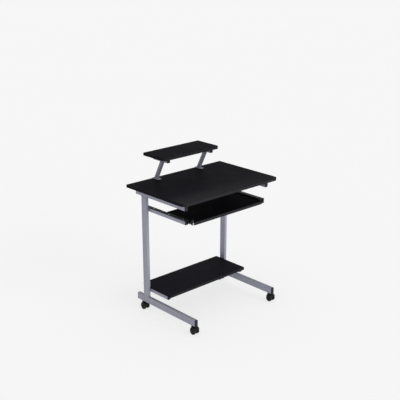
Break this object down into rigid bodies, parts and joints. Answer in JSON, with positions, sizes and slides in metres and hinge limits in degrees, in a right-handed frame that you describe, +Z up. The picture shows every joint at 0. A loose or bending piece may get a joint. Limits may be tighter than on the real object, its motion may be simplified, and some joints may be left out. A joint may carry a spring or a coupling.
{
  "type": "computer desk with keyboard tray",
  "caption": "Small computer desk on swivel casters: black boards on silver steel tube side frames, sliding keyboard tray, raised monitor shelf and low shelf.",
  "frame": {"origin": "on the floor under the middle of the whole desk", "axes": "+X to the user's right, +Y to the back, +Z up"},
  "size_m": [0.722, 0.553, 0.898],
  "materials": {
    "black_board": "black satin laminate over particle board",
    "silver_paint": "silver-grey powder coat over steel tube",
    "black_paint": "black coat over pressed steel sheet",
    "black_cap": "moulded black plastic",
    "slide_plastic": "dark low-friction plastic",
    "caster_wheel": "black nylon",
    "caster_body": "black nylon",
    "plated_steel": "zinc plated"
  },
  "bodies": {
    "frame": {"bottom_shelf": "black_board", "bottom_shelf_screws": "plated_steel", "bracket_bolts": "plated_steel", "bracket_end_caps": "black_cap", "desktop": "black_board", "desktop_screws": "plated_steel", "foot_tube_end_caps": "black_cap", "front_left_caster_stem": "plated_steel", "front_right_caster_stem": "plated_steel", "left_bracket_arm": "silver_paint", "left_bracket_plate": "silver_paint", "left_bracket_riser": "silver_paint", "left_foot_tube": "silver_paint", "left_post": "silver_paint", "left_runner": "black_paint", "left_shelf_support": "silver_paint", "left_top_tube": "silver_paint", "left_tray_tube": "silver_paint", "monitor_shelf": "black_board", "monitor_shelf_screws": "plated_steel", "rear_left_caster_stem": "plated_steel", "rear_right_caster_stem": "plated_steel", "right_bracket_arm": "silver_paint", "right_bracket_plate": "silver_paint", "right_bracket_riser": "silver_paint", "right_foot_tube": "silver_paint", "right_post": "silver_paint", "right_runner": "black_paint", "right_shelf_support": "silver_paint", "right_top_tube": "silver_paint", "right_tray_tube": "silver_paint", "runner_pads": "slide_plastic", "runner_screws": "plated_steel", "shelf_support_end_caps": "black_cap", "top_tube_end_caps": "black_cap", "tray_tube_end_caps": "black_cap"},
    "tray": {"keyboard_tray": "black_board", "left_rail": "black_paint", "right_rail": "black_paint", "tray_glides": "slide_plastic", "tray_end_blocks": "black_cap", "left_end_plate": "plated_steel", "tray_screws": "plated_steel"},
    "front_left_caster_swivel": {"front_left_caster_body": "caster_body", "front_left_caster_axle": "plated_steel"},
    "front_left_caster_left_wheel": {"front_left_caster_wheel_left": "caster_wheel"},
    "front_left_caster_right_wheel": {"front_left_caster_wheel_right": "caster_wheel"},
    "front_right_caster_swivel": {"front_right_caster_body": "caster_body", "front_right_caster_axle": "plated_steel"},
    "front_right_caster_left_wheel": {"front_right_caster_wheel_left": "caster_wheel"},
    "front_right_caster_right_wheel": {"front_right_caster_wheel_right": "caster_wheel"},
    "rear_left_caster_swivel": {"rear_left_caster_body": "caster_body", "rear_left_caster_axle": "plated_steel"},
    "rear_left_caster_left_wheel": {"rear_left_caster_wheel_left": "caster_wheel"},
    "rear_left_caster_right_wheel": {"rear_left_caster_wheel_right": "caster_wheel"},
    "rear_right_caster_swivel": {"rear_right_caster_body": "caster_body", "rear_right_caster_axle": "plated_steel"},
    "rear_right_caster_left_wheel": {"rear_right_caster_wheel_left": "caster_wheel"},
    "rear_right_caster_right_wheel": {"rear_right_caster_wheel_right": "caster_wheel"}
  },
  "joints": [
    {"name": "tray_slide", "type": "slide", "parent": "frame", "child": "tray", "axis": [0, -1, 0], "range_m": [-0.025, 0.144]},
    {"name": "front_left_caster_turn", "type": "hinge", "parent": "frame", "child": "front_left_caster_swivel", "pos_m": [-0.307, -0.2425, 0.04], "axis": [0, 0, 1], "continuous": true},
    {"name": "front_left_caster_left_roll", "type": "hinge", "parent": "front_left_caster_swivel", "child": "front_left_caster_left_wheel", "pos_m": [-0.307, -0.2565, 0.02], "axis": [1, 0, 0], "continuous": true},
    {"name": "front_left_caster_right_roll", "type": "hinge", "parent": "front_left_caster_swivel", "child": "front_left_caster_right_wheel", "pos_m": [-0.307, -0.2565, 0.02], "axis": [1, 0, 0], "continuous": true},
    {"name": "front_right_caster_turn", "type": "hinge", "parent": "frame", "child": "front_right_caster_swivel", "pos_m": [0.307, -0.2425, 0.04], "axis": [0, 0, 1], "continuous": true},
    {"name": "front_right_caster_left_roll", "type": "hinge", "parent": "front_right_caster_swivel", "child": "front_right_caster_left_wheel", "pos_m": [0.307, -0.2565, 0.02], "axis": [1, 0, 0], "continuous": true},
    {"name": "front_right_caster_right_roll", "type": "hinge", "parent": "front_right_caster_swivel", "child": "front_right_caster_right_wheel", "pos_m": [0.307, -0.2565, 0.02], "axis": [1, 0, 0], "continuous": true},
    {"name": "rear_left_caster_turn", "type": "hinge", "parent": "frame", "child": "rear_left_caster_swivel", "pos_m": [-0.307, 0.1825, 0.04], "axis": [0, 0, 1], "continuous": true},
    {"name": "rear_left_caster_left_roll", "type": "hinge", "parent": "rear_left_caster_swivel", "child": "rear_left_caster_left_wheel", "pos_m": [-0.307, 0.1685, 0.02], "axis": [1, 0, 0], "continuous": true},
    {"name": "rear_left_caster_right_roll", "type": "hinge", "parent": "rear_left_caster_swivel", "child": "rear_left_caster_right_wheel", "pos_m": [-0.307, 0.1685, 0.02], "axis": [1, 0, 0], "continuous": true},
    {"name": "rear_right_caster_turn", "type": "hinge", "parent": "frame", "child": "rear_right_caster_swivel", "pos_m": [0.307, 0.1825, 0.04], "axis": [0, 0, 1], "continuous": true},
    {"name": "rear_right_caster_left_roll", "type": "hinge", "parent": "rear_right_caster_swivel", "child": "rear_right_caster_left_wheel", "pos_m": [0.307, 0.1685, 0.02], "axis": [1, 0, 0], "continuous": true},
    {"name": "rear_right_caster_right_roll", "type": "hinge", "parent": "rear_right_caster_swivel", "child": "rear_right_caster_right_wheel", "pos_m": [0.307, 0.1685, 0.02], "axis": [1, 0, 0], "continuous": true}
  ]
}
